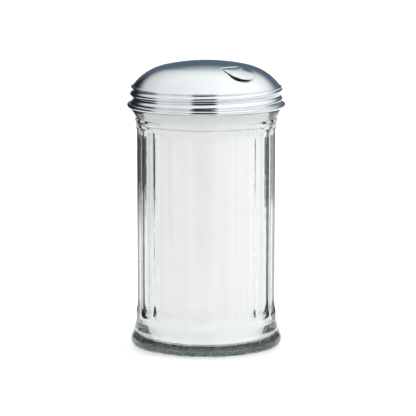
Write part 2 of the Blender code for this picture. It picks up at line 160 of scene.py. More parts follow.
# %% Sizes of the jar
jar_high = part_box("glass_jar")[1]
jar_height = jar_high.z
foot_radius = jar_high.x
foot_spread = 0.0027
body_radius = foot_radius - foot_spread
body_draft = 0.00015
heel_radius = 0.0042
flare_height = 0.0155
foot_ring_width = 0.0025
punt_depth = 0.0008
punt_edge = 0.0012
punt_crown = 0.0003
bead_stand = 0.00055
bead_below_lip = 0.0153
bead_height = 0.0020
dip_stand = 0.0003
dip_below_lip = 0.0140
neck_radius = body_radius + 0.0006
collar_radius = neck_radius + 0.0016
collar_top_z = jar_height - 0.0096
collar_band = 0.0010
collar_round = 0.0004
lip_round = 0.0012
body_wall = 0.0046
neck_wall = 0.0033
floor_thickness = 0.0034
floor_crown = 0.0006
inner_corner_radius = 0.0022
bore_below_lip = 0.0225
neck_bore_below_lip = 0.0120
bore_radius = body_radius - body_wall
neck_bore_radius = neck_radius - neck_wall
print("the jar is", round(jar_height * 1000, 2), "mm tall and",
      round(foot_radius * 2000, 2), "mm wide")

# %% [markdown]
# The panels and the thread need close rows of points where they begin and end, and hardly any on
# the straight wall between. So each stretch of the section says how close its points lie.

# %% The foot's section
row_wide = 0.0060
row_close = 0.0005
punt_steps = 8
heel_steps = 22
flare_steps = 14


def eased_line(start, end, steps):
    """Return points that leave one end and reach the other along the axis."""
    points = []
    for step in range(steps + 1):
        share = step / steps
        radius = start[0] + (end[0] - start[0]) * ease(share)
        points.append((radius, start[1] + (end[1] - start[1]) * share))
    return points


def foot_section():
    """Return the underside, the heel and the flare, from the axis out and up."""
    heel = (foot_radius - heel_radius, heel_radius)
    reach = body_radius - heel[0]
    drop = flare_height - heel_radius
    flare_radius = (reach ** 2 + drop ** 2 - heel_radius ** 2) / (2 * (heel_radius - reach))
    tangent = math.degrees(math.asin(drop / (flare_radius + heel_radius)))
    ring_inner = heel[0] - foot_ring_width
    punt_rim = (ring_inner - punt_edge, punt_depth)
    halfway = (punt_rim[0] / 2, punt_depth + punt_crown / 2)
    points = line((0.0, punt_depth + punt_crown), halfway, row_wide / 2)
    points += line(points[-1], punt_rim, row_close)[1:]
    points += eased_line(punt_rim, (ring_inner, 0.0), punt_steps)[1:]
    points += line((ring_inner, 0.0), (heel[0], 0.0), row_close)[1:-1]
    points += arc(heel, heel_radius, -90.0, tangent, heel_steps)
    flare = (body_radius + flare_radius, flare_height)
    points += arc(flare, flare_radius, 180.0 + tangent, 180.0, flare_steps)[1:]
    return points


# %% The shoulder's section
row_collar = 0.0003
bead_steps_up = 10
bead_steps_down = 8
collar_steps = 4


def shoulder_section():
    """Return the round band above the panels, the bead, the cone and the collar."""
    bead = (body_radius + bead_stand, jar_height - bead_below_lip)
    dip = (body_radius + dip_stand, jar_height - dip_below_lip)
    points = eased_line((body_radius - body_draft, bead[1] - bead_height), bead, bead_steps_up)
    points += eased_line(bead, dip, bead_steps_down)[1:]
    collar_low = (collar_radius, collar_top_z - collar_band)
    edge = (collar_radius - collar_round, collar_top_z - collar_round)
    points += line(dip, collar_low, row_close)[1:-1]
    points += line(collar_low, (collar_radius, edge[1]), row_collar)
    points += arc(edge, collar_round, 0.0, 90.0, collar_steps)[1:]
    return points


# %% The inside's section
lip_steps = 6
cone_steps = 10
corner_steps = 12


def inner_section():
    """Return the inside, from the lip down to the middle of the floor."""
    lip = (neck_bore_radius + lip_round, jar_height - lip_round)
    points = arc(lip, lip_round, 90.0, 180.0, lip_steps)
    points += eased_line((neck_bore_radius, jar_height - neck_bore_below_lip),
                         (bore_radius, jar_height - bore_below_lip), cone_steps)
    corner = (bore_radius - inner_corner_radius, floor_thickness + inner_corner_radius)
    points += line(points[-1], (bore_radius, corner[1]), row_wide)[1:-1]
    points += arc(corner, inner_corner_radius, 0.0, -90.0, corner_steps)
    points += line(points[-1], (0.0, floor_thickness + floor_crown), row_wide)[1:]
    return points


# %% The whole section
row_fine = 0.0002
row_thread = 0.00026
panel_low_z = flare_height + 0.0071
panel_high_z = jar_height - 0.0209
panel_high_radius = 0.0040


def jar_section():
    """Return the whole section as (radius, height) points."""
    stops = [flare_height, panel_low_z + row_fine, panel_high_z - row_fine,
             panel_high_z + panel_high_radius, jar_height - bead_below_lip - bead_height]
    spacings = [row_fine, row_wide, row_fine, row_wide]
    points = foot_section()
    for low_z, high_z, spacing in zip(stops, stops[1:], spacings):
        points += line((body_radius, low_z), (body_radius, high_z), spacing)[1:]
    points += shoulder_section()
    points += line((neck_radius, collar_top_z), (neck_radius, jar_height - lip_round), row_thread)
    lip = (neck_radius - lip_round, jar_height - lip_round)
    points += arc(lip, lip_round, 0.0, 90.0, lip_steps)[1:]
    points += inner_section()
    return points


section = jar_section()
print("the jar's section has", len(section), "points")

# %% [markdown]
# ## Panels and thread
#
# Nineteen panels are pressed into the body, each runs out in an arc at both ends, and a narrow
# rib is left where two meet. A Boolean with a 19-sided block would cut them, but it leaves long
# slivers that glass would show. Here the turned wall is pushed in to the panels instead: a point
# goes to the panel's plane where that lies inside the round wall, and a little deeper away from
# the ribs. The columns of points crowd towards the corners, so that a rib's soft edge is real
# geometry. The mould also leaves shallow pits and streaks under the foot, which are pushed up in
# the same way. The thread is pushed out of the neck by a wave that climbs with the angle.

# %% Sizes of the panels
panel_count = 19
panel_phase = math.radians(5.5)
panel_depth_low = 0.00105
panel_depth_high = 0.00075
panel_low_radius = 0.0170
panel_low_sweep = math.radians(24.0)
panel_high_sweep = math.radians(50.0)
panel_hollow = 0.00032
panel_corner_radius = 0.0010
rib_half_width = 0.0015
panel_angle = math.tau / panel_count
print("a panel is", round(panel_angle * body_radius * 1000, 1), "mm wide")


# %% The panelled wall
def soft_min(first, second, width):
    """Return the smaller of two lengths, blended where they are within the width."""
    overlap = max(0.0, width - abs(first - second)) / width
    return min(first, second) - overlap * overlap * width / 4


def run_out(beyond, radius, sweep):
    """Return how far a panel has risen past its end: along an arc and then straight on."""
    curved = min(beyond, radius * math.sin(sweep))
    return radius - math.sqrt(radius ** 2 - curved ** 2) + (beyond - curved) * math.tan(sweep)


def panel_apothem(height):
    """Return how far a panel's plane lies from the axis at a height."""
    share = min(1.0, max(0.0, (height - panel_low_z) / (panel_high_z - panel_low_z)))
    flat = body_radius - panel_depth_low + (panel_depth_low - panel_depth_high) * share
    if height < panel_low_z:
        return flat + run_out(panel_low_z - height, panel_low_radius, panel_low_sweep)
    return flat + run_out(max(0.0, height - panel_high_z), panel_high_radius, panel_high_sweep)


def panel_radius(off_corner, height):
    """Return the panelled wall's distance from the axis, at an angle off the nearest corner."""
    apothem = panel_apothem(height)
    half = panel_angle / 2
    rounding = (apothem - panel_corner_radius) / math.cos(half)
    touch = math.atan2(panel_corner_radius * math.sin(half),
                       rounding + panel_corner_radius * math.cos(half))
    hollow = panel_hollow * ease(apothem * off_corner / rib_half_width)
    if off_corner > touch:
        return apothem / math.cos(half - off_corner) - hollow
    reach = panel_corner_radius ** 2 - (rounding * math.sin(off_corner)) ** 2
    return rounding * math.cos(off_corner) + math.sqrt(reach) - hollow


# %% Press the panels
columns_per_panel = 16
panel_edge_softness = 0.00020


def crowd_columns(shape):
    """Move the columns of points towards the corners of their panels."""
    for vertex, angle, radius in polar_points(shape):
        turns = (angle % math.tau) / panel_angle
        panel = math.floor(turns)
        across = (turns - panel) * 2.0 - 1.0
        crowded = math.sin(across * math.pi / 2)
        set_polar(vertex, panel_phase + (panel + (crowded + 1.0) / 2) * panel_angle, radius)


def press_panels(shape):
    """Push the outer wall in to the panels."""
    for vertex, angle, radius in polar_points(shape):
        is_outside = radius > bore_radius + body_wall / 2
        if is_outside and flare_height <= vertex.co.z <= jar_height - bead_below_lip:
            turns = ((angle - panel_phase) % math.tau) / panel_angle
            off_corner = min(turns % 1.0, 1.0 - turns % 1.0) * panel_angle
            pressed = panel_radius(off_corner, vertex.co.z)
            set_polar(vertex, angle, soft_min(radius, pressed, panel_edge_softness))


jar_shape = turned(section, panel_count * columns_per_panel)
crowd_columns(jar_shape)
press_panels(jar_shape)

# %% Stipple the foot
stipple_top_z = 0.0022
stipple_inner_radius = 0.016
stipple_size = 0.0014
stipple_streak = 0.0060
stipple_depth = 0.00050
stipple_level = 0.8
ripples_across = 4.0


def stipple_foot(shape):
    """Raise the underside in the shallow pits and streaks that the mould leaves."""
    for vertex, angle, radius in polar_points(shape):
        if vertex.co.z < stipple_top_z and radius > stipple_inner_radius:
            fade = ease((stipple_top_z - vertex.co.z) / stipple_top_z)
            mark = 0.5 + 0.5 * noise.noise(Vector((vertex.co.x, vertex.co.y, 0.0)) / stipple_size)
            along_edge = Vector((angle * foot_radius, radius * ripples_across, 0.0))
            streak = 0.5 + 0.5 * noise.noise(along_edge / stipple_streak)
            vertex.co.z += stipple_depth * fade * max(0.0, mark + streak - stipple_level)


stipple_foot(jar_shape)

# %% The thread
thread_lead = 0.0044
thread_height = 0.0017
thread_sharpness = 1.6
thread_crest_z = jar_height - 0.00505
thread_zero = math.radians(50.0)
thread_first_z = jar_height - 0.0073
thread_last_z = jar_height - 0.0025
thread_fade = math.radians(35.0)


def thread_turn(angle, height):
    """Return how far a point is from the nearest crest, in turns, and the crest's total angle."""
    along = angle - thread_zero
    turns = (height - thread_crest_z) / thread_lead - along / math.tau
    nearest = round(turns)
    return turns - nearest, along + math.tau * nearest


def thread_wave(angle, height):
    """Return 1 on the crest of the thread and 0 in its valley."""
    return 0.5 + 0.5 * math.cos(math.tau * thread_turn(angle, height)[0])


def thread_on_glass(angle, height):
    """Return the share of the thread's height there, faded in and out at its ends."""
    total = thread_turn(angle, height)[1]
    per_radian = thread_lead / math.tau
    since_first = total - (thread_first_z - thread_crest_z) / per_radian
    until_last = (thread_last_z - thread_crest_z) / per_radian - total
    inside = min(ease(since_first / thread_fade + 1.0), ease(until_last / thread_fade + 1.0))
    return inside * thread_wave(angle, height) ** thread_sharpness


# %% Raise the thread and make the jar
def raise_thread(shape):
    """Push the thread out of the neck."""
    for vertex, angle, radius in polar_points(shape):
        on_neck = collar_top_z < vertex.co.z < jar_height - lip_round / 2
        if on_neck and abs(radius - neck_radius) < lip_round / 4:
            stand = thread_height * thread_on_glass(angle, vertex.co.z)
            set_polar(vertex, angle, neck_radius + stand)


raise_thread(jar_shape)
jar = piece("pressed_glass_jar", jar_shape)
stand_for(jar, "glass_jar", "jar")

# %% [markdown]
# ## The sugar
#
# Sugar fills the jar. It touches the glass only at the tips of its grains, so a thin film of air
# lies between, and that film is what makes the edges of a full jar shine: light that meets it at
# a slant is turned back. A block that filled the bore exactly would lose that. The sugar is
# turned a little smaller than the bore, its wall is made slightly uneven, and its top is a low,
# lopsided heap.

# %% The sugar
sugar_gap = 0.00015
sugar_top_z = jar_height - 0.0050
sugar_heap = 0.0018
sugar_unevenness = 0.00007
sugar_grain = 0.0009
sugar_lump = 0.012
sugar_wall_row = row_fine * 4
sugar_top_row = row_fine * 5
heap_slant = 0.4
sugar_steps = 240


def sugar_section():
    """Return the sugar's section, from the floor's middle out, up and back to the axis."""
    points = []
    for radius, height in reversed(inner_section()):
        if height < sugar_top_z - sugar_heap:
            lifted = sugar_gap if height < floor_thickness + inner_corner_radius / 2 else 0.0
            points.append((max(0.0, radius - sugar_gap), height + lifted))
    wall_radius = points[-1][0]
    points += line(points[-1], (wall_radius, sugar_top_z - sugar_heap), sugar_wall_row)[1:]
    points += line((wall_radius, sugar_top_z - sugar_heap), (0.0, sugar_top_z), sugar_top_row)[1:]
    return points


def roughen_sugar(shape):
    """Make the wall slightly uneven, inwards only, and the top a heap."""
    for vertex, angle, radius in polar_points(shape):
        if radius > row_fine:
            dent = 0.5 + 0.5 * noise.noise(vertex.co / sugar_grain)
            set_polar(vertex, angle, radius - sugar_unevenness * dent)
        if vertex.co.z > sugar_top_z - sugar_heap - row_fine:
            vertex.co.z += sugar_heap * heap_slant * noise.noise(vertex.co / sugar_lump)
            vertex.co.z += sugar_unevenness * noise.noise(vertex.co / sugar_grain)


sugar_shape = turned(sugar_section(), sugar_steps)
roughen_sugar(sugar_shape)
sugar = piece("sugar", sugar_shape)
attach(sugar, "jar")

# %% [markdown]
# ## The lid
#
# The lid is one disc of steel sheet: drawn to a dome and a skirt, with the thread rolled into the
# skirt and the edge curled out. The dome is a shallow crown that rolls over a tighter knuckle
# down to a bead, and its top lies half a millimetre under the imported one, as the photograph's
# outline has it. The outer surface is turned first. Its skirt then gets the same wave as the
# glass, so that lid and jar fit, and a Solidify gives the sheet its thickness inwards.

# %% Sizes of the lid
lid_low, lid_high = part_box("lid_shell")
dome_lowered = 0.0005
dome_top_z = lid_high.z - dome_lowered
rim_radius = lid_high.x
lid_sheet = 0.00045
rim_spread = 0.0014
wave_height = 0.00125
ridge_radius = rim_radius - rim_spread
groove_radius = ridge_radius - wave_height
crown_radius = 0.0953
crown_angle = math.radians(12.84)
crease_slope = math.radians(53.53)
crown_edge = crown_radius * math.sin(crown_angle)
knuckle_radius = (groove_radius - crown_edge) / (math.sin(crease_slope) - math.sin(crown_angle))
rim_roll_radius = 0.00105
rim_z = lid_low.z + rim_roll_radius
skirt_foot_z = rim_z + 0.0013
skirt_flare = 0.0010
top_bead_stand = 0.00075
top_bead_radius = 0.0005
top_bead_below_crease = 0.0006


def dome_height(radius):
    """Return the height of the dome's outer surface at a distance from the axis."""
    if radius <= crown_edge:
        return dome_top_z - crown_radius * (1.0 - math.cos(math.asin(radius / crown_radius)))
    slope = math.asin(math.sin(crown_angle) + (radius - crown_edge) / knuckle_radius)
    crown_drop = crown_radius * (1.0 - math.cos(crown_angle))
    return dome_top_z - crown_drop - knuckle_radius * (math.cos(crown_angle) - math.cos(slope))


crease_z = dome_height(groove_radius)
top_bead_z = crease_z - top_bead_below_crease
print("the dome rises", round((dome_top_z - crease_z) * 1000, 2), "mm above its crease")

# %% The lid's section
lid_row = 0.00016
crown_rows = 16
knuckle_rows = 34
bead_rows = 12
bead_top_deg = 70.0
rim_roll_start_deg = 112.0
rim_roll_end_deg = -150.0
rim_roll_rows = 26


def lid_section():
    """Return the outer surface from the top of the dome to the end of the rolled rim."""
    points = []
    for row in range(crown_rows):
        radius = crown_edge * row / crown_rows
        points.append((radius, dome_height(radius)))
    for row in range(knuckle_rows + 1):
        slope = crown_angle + (crease_slope - crown_angle) * row / knuckle_rows
        radius = crown_edge + knuckle_radius * (math.sin(slope) - math.sin(crown_angle))
        points.append((radius, dome_height(radius)))
    bead = (groove_radius + top_bead_stand - top_bead_radius, top_bead_z)
    points += arc(bead, top_bead_radius, bead_top_deg, 0.0, bead_rows)
    points += line((groove_radius, top_bead_z), (groove_radius, skirt_foot_z), lid_row)[1:]
    roll = (rim_radius - rim_roll_radius, rim_z)
    points += arc(roll, rim_roll_radius, rim_roll_start_deg, rim_roll_end_deg, rim_roll_rows)
    return points


# %% The skirt's thread
wave_softness = 0.0002


def soft_max(first, second, width):
    """Return the larger of two lengths, blended in the same way."""
    return -soft_min(-first, -second, width)


def skirt_radius(angle, height):
    """Return the skirt's outer radius: the thread's wave between the top bead and the flare."""
    wave = wave_height * thread_wave(angle, height)
    bead = top_bead_stand * ease(1.0 - (top_bead_z - height) / skirt_flare)
    flare = wave_height * ease(1.0 - (height - skirt_foot_z) / skirt_flare)
    return groove_radius + soft_max(soft_max(wave, bead, wave_softness), flare, wave_softness)


def roll_skirt(shape):
    """Push the skirt out to the thread's wave, from the bead down to the flare."""
    for vertex, angle, radius in polar_points(shape):
        on_skirt = skirt_foot_z - lid_row / 2 < vertex.co.z < top_bead_z + lid_row / 2
        if on_skirt and abs(radius - groove_radius) < lid_row:
            set_polar(vertex, angle, skirt_radius(angle, vertex.co.z))
        elif radius > groove_radius + lid_row and vertex.co.z > skirt_foot_z + skirt_flare:
            # The bead widens where the thread's wave runs up into it
            wave = skirt_radius(angle, top_bead_z) - groove_radius - top_bead_stand
            set_polar(vertex, angle, radius + wave)


# %% Helpers for sheet steel
def as_piece(made, sharp_deg, tools=()):
    """Bake an object's modifiers into its mesh, and throw away their tools."""
    bpy.context.view_layer.update()
    graph = bpy.context.evaluated_depsgraph_get()
    shape = bmesh.new()
    shape.from_mesh(bpy.data.meshes.new_from_object(made.evaluated_get(graph)))
    name = made.name
    for used in (made, *tools):
        bpy.data.objects.remove(used, do_unlink=True)
    bmesh.ops.remove_doubles(shape, verts=shape.verts, dist=merge_distance / 4)
    bmesh.ops.dissolve_degenerate(shape, edges=shape.edges, dist=merge_distance / 4)
    return piece(name, shape, sharp_deg)


def face_up(shape, above):
    """Turn a sheet over if its faces above a height point down."""
    if sum(face.normal.z for face in shape.faces if face.calc_center_median().z > above) < 0.0:
        bmesh.ops.reverse_faces(shape, faces=shape.faces)


def thicken(made, thickness):
    """Give an outer surface its thickness, inwards."""
    sheet = made.modifiers.new("Sheet", "SOLIDIFY")
    sheet.thickness = thickness
    sheet.offset = -1.0
    sheet.use_even_offset = True


# %% Turn the lid
lid_steps = 288
lid_shape = turned(lid_section(), lid_steps)
face_up(lid_shape, crease_z)
roll_skirt(lid_shape)
lid = piece("steel_screw_lid", lid_shape)
thicken(lid, lid_sheet)

# %% [markdown]
# ## The pour opening, its ears and the pin
#
# Under the flap the dome is punched open. At the opening's root two small ears are bent down from
# its sides and hold a pin of steel wire with peened ends. The punch is a prism of the opening's
# outline, taken off with a Boolean, and the ears are bevelled prisms that a Boolean adds. The
# hinge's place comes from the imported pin.

# %% Sizes of the hinge and the opening
pin_low, pin_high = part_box("hinge_pin")
hinge = (pin_low + pin_high) / 2
pin_length = (pin_high - pin_low).y
pin_radius = 0.00055
pin_hole_gap = 0.0001
ear_margin = 0.00085
flap_half_width = 0.0071
flap_overlap = 0.0008
flap_corner = 0.0010
tip_length_share = 0.8
flap_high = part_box("flap")[1]
flap_reach = 0.0006
flap_end_x = flap_high.x + flap_reach
roll_radius = 0.0016
slot_behind_pin = 0.0017
opening_half_width = flap_half_width - flap_overlap
opening_end_x = flap_high.x - flap_overlap
opening_root_x = hinge.x - slot_behind_pin
print("the opening is", round((opening_end_x - opening_root_x) * 1000, 1), "mm by",
      round(opening_half_width * 2000, 1), "mm")

# %% Outlines and prisms
def tongue(root_x, end_x, half_width, corner, tip_steps, corner_steps):
    """Return a tongue's outline: a square root with rounded corners and a round free end."""
    tip = tip_length_share * half_width
    points = arc((root_x + corner, corner - half_width), corner, 180.0, 270.0, corner_steps)
    for step in range(tip_steps + 1):
        angle = math.radians(-90.0 + 180.0 * step / tip_steps)
        points.append((end_x - tip + tip * math.cos(angle), half_width * math.sin(angle)))
    points += arc((root_x + corner, half_width - corner), corner, 90.0, 180.0, corner_steps)
    return points


def filled(outline):
    """Return a shape that is one flat face with this outline, and the face."""
    shape = bmesh.new()
    return shape, shape.faces.new([shape.verts.new((x, y, 0.0)) for x, y in outline])


def prism(outline, thickness):
    """Make a prism with its outline in the XY plane and its thickness up from there."""
    shape, face = filled(outline)
    grown = bmesh.ops.extrude_face_region(shape, geom=[face])
    risen = [item for item in grown["geom"] if isinstance(item, bmesh.types.BMVert)]
    bmesh.ops.translate(shape, verts=risen, vec=(0.0, 0.0, thickness))
    bmesh.ops.recalc_face_normals(shape, faces=shape.faces)
    return shape


# %% Rods, bevels and Booleans
rod_sides = 48
soften_from = math.radians(30.0)
upright = Matrix.Rotation(math.radians(90.0), 4, "X")
along_hinge = Matrix.Translation(hinge) @ upright


def soften(shape, width, segments):
    """Bevel the edges of a prism where its faces meet at an angle."""
    edges = [edge for edge in shape.edges if edge.calc_face_angle(0.0) > soften_from]
    bmesh.ops.bevel(shape, geom=edges, offset=width, offset_type="OFFSET", segments=segments,
                    profile=0.5, affect="EDGES", clamp_overlap=True, material=-1)


def rod_on_hinge(radius, length):
    """Return a round rod that lies along the hinge."""
    shape = bmesh.new()
    bmesh.ops.create_cone(shape, cap_ends=True, segments=rod_sides, radius1=radius,
                          radius2=radius, depth=length)
    move(shape, along_hinge)
    return shape


def cut(made, tool_shape, operation):
    """Add an exact Boolean with a shape, which is kept out of the render."""
    tool = piece("tool", tool_shape)
    tool.hide_render = True
    step = made.modifiers.new("Cut", "BOOLEAN")
    step.operation = operation
    step.object = tool
    step.solver = "EXACT"
    return tool


# %% Cut the opening and add the ears
pin_hole_radius = pin_radius + pin_hole_gap
ear_radius = pin_hole_radius + ear_margin
opening_outline = tongue(opening_root_x, opening_end_x, opening_half_width, flap_corner,
                         tip_steps=40, corner_steps=6)
punch = prism(opening_outline, dome_top_z)
move(punch, Matrix.Translation((0.0, 0.0, rim_z)))
tools = [cut(lid, punch, "DIFFERENCE")]
for side in (-1, 1):
    ear_outline = []
    for x in (hinge.x + ear_radius, hinge.x - ear_radius):
        ear_outline.append((x, dome_height(math.hypot(x, opening_half_width)) - lid_sheet / 2))
    ear_outline += arc((hinge.x, hinge.z), ear_radius, 180.0, 360.0, 24)
    ear = prism(ear_outline, lid_sheet)
    soften(ear, lid_sheet / 6, 2)
    move(ear, upright)
    move(ear, Matrix.Translation((0.0, side * opening_half_width + lid_sheet / 2, 0.0)))
    tools.append(cut(lid, ear, "UNION"))
tools.append(cut(lid, rod_on_hinge(pin_hole_radius, pin_length), "DIFFERENCE"))
lid = as_piece(lid, 40.0, tools)
stand_for(lid, "lid_shell", "lid")

# %% The pin
pin_head_radius = (pin_high - pin_low).z / 2
pin_half = pin_length / 2
pin_head_length = 0.0003
pin_head_round = 0.0002


def pin_section():
    """Return the pin's section: a peened head, the wire and the other head."""
    edge = (pin_head_radius - pin_head_round, pin_half - pin_head_round)
    head_end = pin_half - pin_head_length
    half = [(0.0, pin_half), (edge[0], pin_half)]
    half += arc(edge, pin_head_round, 80.0, 0.0, 5)
    half += [(pin_head_radius, head_end), (pin_radius, head_end)]
    return half + [(radius, -height) for radius, height in reversed(half)]


pin_shape = turned(pin_section(), rod_sides)
move(pin_shape, along_hinge)
pin = piece("wire_hinge_pin", pin_shape, 50.0)
stand_for(pin, "hinge_pin", "lid")

# %% [markdown]
# ## The flap
#
# The flap is a tongue of the same steel. It lies on the dome from just past the pin and curls up
# to its free end, which leaves the dark crescent that shows from the front. Its outline is filled
# and inset ring by ring, so that it has points enough to follow the dome. Solidify and Bevel then
# give it its thickness and a bright, rounded edge. The root is curled round the pin: a Boolean
# adds a prism of the roll's side view, and another takes out the bore.

# %% The flap's plate
seat_gap = 0.00012
flap_sheet = 0.00042
flap_lip_rise = 0.0013
flap_lip_curl = 1.4
root_past_pin = 0.0020
flap_root_x = hinge.x + root_past_pin
flap_insets = (0.0002, 0.0004, 0.0006, 0.0008, 0.0010, 0.0012, 0.0012)
flap_edge_round = 0.00018


def flap_top(x, y):
    """Return the height of the flap's upper face."""
    share = max(0.0, (x - flap_root_x) / (flap_end_x - flap_root_x))
    seat = dome_height(math.hypot(x, y)) + seat_gap + flap_sheet
    return seat + flap_lip_rise * share ** flap_lip_curl


outline = tongue(flap_root_x, flap_end_x, flap_half_width, flap_corner,
                 tip_steps=48, corner_steps=8)
flap_shape, inner_face = filled(outline)
for width in flap_insets:
    bmesh.ops.inset_region(flap_shape, faces=[inner_face], thickness=width, use_even_offset=True)
bmesh.ops.poke(flap_shape, faces=[inner_face])
for vertex in flap_shape.verts:
    vertex.co.z = flap_top(vertex.co.x, vertex.co.y)
bmesh.ops.recalc_face_normals(flap_shape, faces=flap_shape.faces)
face_up(flap_shape, 0.0)
flap = piece("pouring_flap", flap_shape)
thicken(flap, flap_sheet)
rounded = flap.modifiers.new("Edge", "BEVEL")
rounded.width = flap_edge_round
rounded.segments = 3
rounded.limit_method = "ANGLE"
rounded.angle_limit = math.radians(50.0)
flap = as_piece(flap, 60.0)

# %% The flap's roll round the pin
roll_side_gap = 0.0005
roll_half_width = opening_half_width - lid_sheet / 2 - roll_side_gap
roll_bore_radius = pin_radius + 0.00025
roll_end_deg = 40.0
roll_steps = 36
strip_steps = 12
strip_leaves_share = 0.45
strip_end_share = 0.3


def roll_outline():
    """Return the side view of the roll and of the strip from it into the flap."""
    middle = roll_radius - flap_sheet / 2
    reach = flap_root_x + flap_sheet - hinge.x
    far = hinge.x + reach
    root_z = (dome_height(far) + dome_height(math.hypot(far, roll_half_width))) / 2
    rise = root_z + seat_gap + flap_sheet / 2 - hinge.z - middle
    upper = []
    lower = []
    for step in range(strip_steps + 1):
        share = step / strip_steps
        half = flap_sheet * (0.5 + (strip_end_share - 0.5) * share)
        height = hinge.z + middle + rise * ease(share)
        upper.append((hinge.x + reach * share, height + half))
        if share > strip_leaves_share:
            lower.append((hinge.x + reach * share, height - half))
    points = arc((hinge.x, hinge.z), roll_radius, 90.0, 360.0 + roll_end_deg, roll_steps)
    return points + lower + upper[:0:-1]


roll_shape = prism(roll_outline(), 2 * roll_half_width)
move(roll_shape, upright)
move(roll_shape, Matrix.Translation((0.0, roll_half_width, 0.0)))
tools = [cut(flap, roll_shape, "UNION")]
tools.append(cut(flap, rod_on_hinge(roll_bore_radius, pin_length), "DIFFERENCE"))
flap = as_piece(flap, 40.0, tools)
stand_for(flap, "flap", "flap")

# %% [markdown]
# ## The sealing ring
#
# A flat ring of soft white plastic lies between the lip and the lid. It is hidden when the lid is
# on, so a turned ring with rounded edges is enough.

# %% The sealing ring
ring_low, ring_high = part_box("lid_liner")
ring_outer = ring_high.x
ring_past_bore = 0.0006
ring_inner = neck_bore_radius + ring_past_bore
ring_round = 0.00025
ring_steps = 160


def ring_section():
    """Return the ring's closed section."""
    corners = [(ring_outer, ring_high.z, 90.0, -1, -1), (ring_outer, ring_low.z, 0.0, -1, 1),
               (ring_inner, ring_low.z, -90.0, 1, 1), (ring_inner, ring_high.z, -180.0, 1, -1)]
    points = []
    for radius, height, start_deg, inward, upward in corners:
        centre = (radius + inward * ring_round, height + upward * ring_round)
        points += arc(centre, ring_round, start_deg, start_deg - 90.0, 4)
    return points + points[:1]


ring = piece("sealing_ring", turned(ring_section(), ring_steps))
stand_for(ring, "lid_liner", "liner")

# %% [markdown]
# ## Finishes
#
# Every finish is a small graph of nodes round one Principled shader, and reads Object
# coordinates, so it stays on its piece. A number that is the same all over stands on the shader
# itself.

# %% Adding nodes
def new_material(name):
    """Return a new material, its node tree and its Principled shader."""
    made = bpy.data.materials.new(name)
    made.use_nodes = True
    return made, made.node_tree, made.node_tree.nodes["Principled BSDF"]


def feed(node, inputs):
    """Set or link a node's inputs, given as (socket, value or output) pairs."""
    for socket, value in inputs:
        if isinstance(value, bpy.types.NodeSocket):
            node.id_data.links.new(value, node.inputs[socket])
        else:
            node.inputs[socket].default_value = value


def add_node(tree, kind, inputs=(), **settings):
    """Add a node, with its settings by name."""
    made = tree.nodes.new(kind)
    for name, value in settings.items():
        setattr(made, name, value)
    feed(made, inputs)
    return made


def set_inputs(shader, **values):
    """Set or link sockets by their names, written with _ for spaces."""
    feed(shader, [(name.replace("_", " "), value) for name, value in values.items()])


# %% Values, colours and noises
def calculated(tree, operation, *values, clamp=False):
    """Return the result of a Math node."""
    return add_node(tree, "ShaderNodeMath", enumerate(values), operation=operation,
                    use_clamp=clamp).outputs[0]


def ranged(tree, value, low, high, from_low=0.0, from_high=1.0):
    """Return a value mapped from one range to another."""
    inputs = [("Value", value), ("From Min", from_low), ("From Max", from_high), ("To Min", low),
              ("To Max", high)]
    return add_node(tree, "ShaderNodeMapRange", inputs).outputs[0]


def mixed_colour(tree, share, first, second):
    """Return a mix by a share of two colours, each a triple or another node's output."""
    ends = [(*end, 1.0) if isinstance(end, tuple) else end for end in (first, second)]
    inputs = [(0, share), (6, ends[0]), (7, ends[1])]
    return add_node(tree, "ShaderNodeMix", inputs, data_type="RGBA").outputs[2]


def object_place(tree):
    """Return the x, y and z outputs of the Object coordinates."""
    place = add_node(tree, "ShaderNodeTexCoord")
    return add_node(tree, "ShaderNodeSeparateXYZ", [(0, place.outputs["Object"])]).outputs


def object_noise(tree, size, detail=4.0, stretch=(1.0, 1.0, 1.0)):
    """Return a noise on Object coordinates, with marks about size metres across."""
    place = add_node(tree, "ShaderNodeTexCoord")
    inputs = [("Vector", place.outputs["Object"]), ("Scale", stretch)]
    mapping = add_node(tree, "ShaderNodeMapping", inputs)
    inputs = [("Vector", mapping.outputs[0]), ("Scale", 1.0 / size), ("Detail", detail)]
    return add_node(tree, "ShaderNodeTexNoise", inputs).outputs[0]


def bump(tree, height, strength, distance):
    """Return the normals of a bump from a height."""
    inputs = [("Strength", strength), ("Distance", distance), ("Height", height)]
    return add_node(tree, "ShaderNodeBump", inputs).outputs[0]


def finish_in(made, material):
    """Give a piece its material."""
    made.data.materials.append(material)
    print(made.name, "is finished in", material.name)


# %% [markdown]
# ### Glass
#
# Pressed soda glass is clear, with a green cast that only shows along a long way through it. So
# the shader is colourless and the green is an absorption in the volume. The mould leaves the
# surface very slightly wavy, and the foot is pitted below and scuffed to a matt ring where it
# slides on the table. Both marks fade out with the height above the table.

# %% Glass
wave_size = 0.011
wave_strength, wave_depth = 0.25, 0.0004
pit_size = 0.0008
pit_share = 1.6
pits_full_z, pits_end_z = 0.0012, 0.0026
scuff_size = 0.0016
scuffs_full_z, scuffs_end_z = 0.0022, 0.0050
scuff_least, scuff_most = 0.48, 0.62
scuff_roughness = 0.5
glass_tint = (0.44, 0.84, 0.62, 1.0)
glass_density = 9.0

